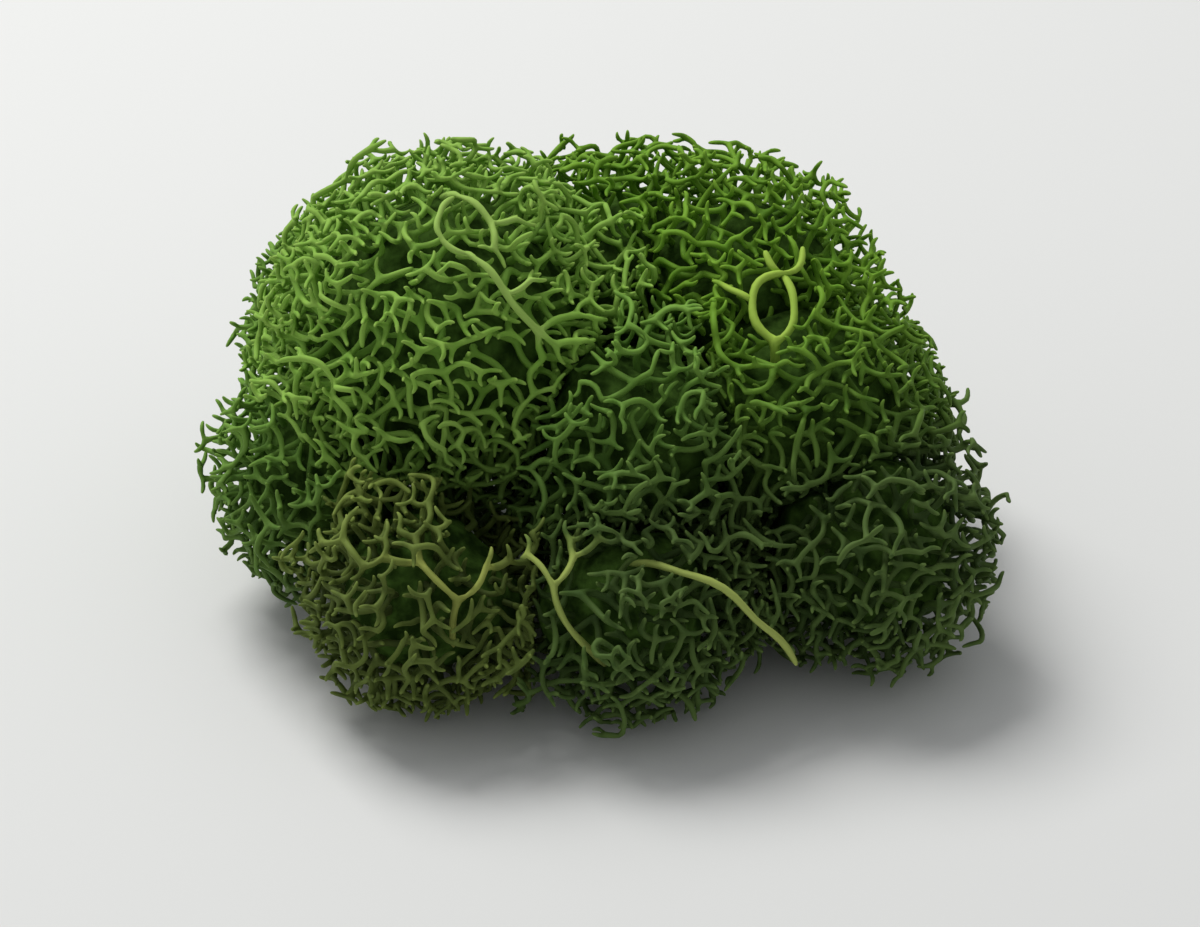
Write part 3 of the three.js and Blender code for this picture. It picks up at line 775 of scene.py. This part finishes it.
def lichen_finish(tint):
    """The living skin. Each corner of a piece marks how near a tip and how deep it is, its shade of tone, and
    how far it lies in the painted shade low down, in front and at the right.
    """
    finish, start = start_finish(f"lichen_{tint}")
    tip, deep, shade, low = (
        start.node("ShaderNodeAttribute", {"attribute_name": mark}, output="Fac")
        for mark in ("tip", "deep", "shade", "low")
    )
    mottle, patch, felt = (noise(start, look) for look in (MOTTLE, PATCHES, FELT))
    spots = (mottle - MEAN) * MOTTLE["strength"] + (patch - MEAN) * PATCHES["strength"]
    ripeness = tip ** RIPENING["power"] + shade * RIPENING["by_shade"]
    ripe = start.math("ADD", ripeness, spots, clamp=True)
    # painted shade: how far each corner lies in the shade low down, in front and at the right, mottled by the
    # spots
    in_shadow = start.math("ADD", low, spots, clamp=True)
    *own_tints, pale = TINTS[tint]
    shadowed_tints = PAINTED_SHADE_TINTS.get(tint, PAINTED_SHADE_TINT)
    tips, branches, insides = (
        in_shadow.mixed(colour(own), colour(shadowed)) for own, shadowed in zip(own_tints, shadowed_tints)
    )
    paler = start.math("MULTIPLY", shade - PALER["from"], 1 / PALER["over"], clamp=True)
    outside = paler.mixed(ripe.mixed(branches, tips), colour(pale))
    # deep under the outline the colour darkens, partly as old tissue and partly as painted shade
    skin = deep.mixed(outside, insides)
    surface = start.node(
        "ShaderNodeBsdfPrincipled",
        {},
        {
            "Base Color": skin,
            "Roughness": GLOSS["rough"] + mottle * GLOSS["rougher"],
            "Normal": bumpy(start, felt, FELT),
            "Sheen Weight": GLOSS["sheen"],
            "Sheen Roughness": GLOSS["sheen_roughness"],
            "Sheen Tint": colour(own_tints[0]),
            "Specular IOR Level": GLOSS["specular"],
        },
    )
    start.node("ShaderNodeOutputMaterial", {}, {"Surface": surface})
    return finish


finishes = {tint: lichen_finish(tint) for tint in TINTS}

# dark greens of the old tissue, partly painted shade deep in the cushion
OLD_AND_SHADED_COLOURS = ("#263a15", "#4b6a2b")
OLD_PATCHES = {"scale": 480, "detail": 4.0, "from": 0.4, "contrast": 4.0, "depth": 0.5 * MM, "strength": 1.0}


def matted_finish():
    """The old tissue inside: dull, and mottled with what has died back; its dark colours partly stand for
    painted shade deep in the cushion.
    """
    finish, start = start_finish("matted_middle_and_shade")
    mottle = noise(start, OLD_PATCHES)
    patchy = start.math("MULTIPLY", mottle - OLD_PATCHES["from"], OLD_PATCHES["contrast"], clamp=True)
    skin = patchy.mixed(*[colour(code) for code in OLD_AND_SHADED_COLOURS])
    bump = bumpy(start, mottle, OLD_PATCHES)
    inputs = {"Base Color": skin, "Roughness": 1.0, "Normal": bump, "Specular IOR Level": 0.0}
    surface = start.node("ShaderNodeBsdfPrincipled", {}, inputs)
    start.node("ShaderNodeOutputMaterial", {}, {"Surface": surface})
    return finish


old_tissue_and_shade = matted_finish()


# ---- The twelve lichens, each grown, skinned and finished ----
# Each piece is the closed forms of a stem, a middle and trees of branches, sunk into each other in one mesh.
# Where lichens press together, branches and middles also run into those of the neighbours, by up to 2 mm.


def lichen_piece(name, cage):
    """A piece from a cage, marked for its finish and rounded once."""
    corners = np.concatenate(cage.corners)
    mesh = bpy.data.meshes.new(f"lichen_{name}")
    mesh.from_pydata(corners, [], cage.faces)
    mesh.materials.append(finishes[LICHENS[name]["tint"]])
    mesh.materials.append(old_tissue_and_shade)
    # depth under the outline, where the colour darkens as old tissue and as painted shade
    deep = below_outline(depths(corners), corners)
    shades = np.concatenate(cage.shades)
    paler = np.maximum(shades - PALER["from"], 0) / PALER["over"]
    # painted shade: darker low down, in front and at the right, away from the key light; the pale branches
    # are spared it
    low = 1 - (corners @ PAINTED_SHADE["way"] - PAINTED_SHADE["up_to"]) / PAINTED_SHADE["over"] - paler
    marks = {
        "low": np.clip(low, 0, 1),
        "tip": np.concatenate(cage.tips),
        "deep": np.clip(deep / DEEP, 0, 1),
        "shade": shades,
    }
    for mark, values in marks.items():
        mesh.attributes.new(mark, "FLOAT", "POINT").data.foreach_set("value", values)
    of_middle = np.zeros(len(cage.faces), int)
    of_middle[cage.middle_from : cage.middle_to] = 1
    mesh.polygons.foreach_set("material_index", of_middle)
    piece = bpy.data.objects.new(f"lichen_{name}", mesh)
    bpy.context.scene.collection.objects.link(piece)
    piece.modifiers.new("rounding", "SUBSURF").render_levels = 1
    rounded = bpy.data.meshes.new_from_object(piece.evaluated_get(bpy.context.evaluated_depsgraph_get()))
    piece.modifiers.clear()
    piece.data = rounded
    rounded.shade_smooth()
    return piece


standing = np.zeros(0, BRANCH)
for number, name in enumerate(LICHENS):
    draw = np.random.default_rng([SEED, number])
    cage = Cage()
    grown = grow(name, draw, standing)
    standing = np.concatenate([standing, grown])
    add_branches(cage, grown)
    add_middle(cage, name, draw)
    add_stem(cage, name, draw)
    piece = lichen_piece(name, cage)
    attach(piece, "root")
    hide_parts(f"podetium_{name}")

# ---- The studio ----
# A pale floor under a large soft light from above and behind on the left, and a camera that looks down on
# the clump from its front.

CAMERA = {"elevation": 32, "distance": 0.65, "lens": 190, "target": (0, 0, 0.0145)}
KEY = {"at": (-0.3, 0.35, 0.75), "size": 0.45, "power": 6.5}
FILL = {"colour": (0.95, 0.97, 1, 1), "strength": 0.42}
PAPER = {"half": 3, "colour": (0.72, 0.72, 0.7, 1), "roughness": 0.8}

half = PAPER["half"]
edges = [(-half, -half, 0), (half, -half, 0), (half, half, 0), (-half, half, 0)]
ground = bpy.data.meshes.new("floor")
ground.from_pydata(edges, [], [(0, 1, 2, 3)])
floor = bpy.data.objects.new("floor", ground)
bpy.context.scene.collection.objects.link(floor)
paper = bpy.data.materials.new("pale_floor")
paper.use_nodes = True
paper.node_tree.nodes["Principled BSDF"].inputs["Base Color"].default_value = PAPER["colour"]
paper.node_tree.nodes["Principled BSDF"].inputs["Roughness"].default_value = PAPER["roughness"]
ground.materials.append(paper)

target = Vector(CAMERA["target"])
lens = bpy.data.cameras.new("camera")
lens.lens = CAMERA["lens"]
camera = bpy.data.objects.new("camera", lens)
bpy.context.scene.collection.objects.link(camera)
elevation = math.radians(CAMERA["elevation"])
camera.location = target + CAMERA["distance"] * Vector((0, -math.cos(elevation), math.sin(elevation)))
camera.rotation_euler = (math.pi / 2 - elevation, 0, 0)
bpy.context.scene.camera = camera

lamp = bpy.data.lights.new("key", "AREA")
lamp.size = KEY["size"]
lamp.energy = KEY["power"]
key = bpy.data.objects.new("key", lamp)
bpy.context.scene.collection.objects.link(key)
key.location = KEY["at"]
key.rotation_euler = (Vector(KEY["at"]) - target).to_track_quat("Z", "Y").to_euler()

sky = bpy.data.worlds.new("studio")
sky.use_nodes = True
sky.node_tree.nodes["Background"].inputs["Color"].default_value = FILL["colour"]
sky.node_tree.nodes["Background"].inputs["Strength"].default_value = FILL["strength"]
bpy.context.scene.world = sky
bpy.context.scene.view_settings.view_transform = "Standard"
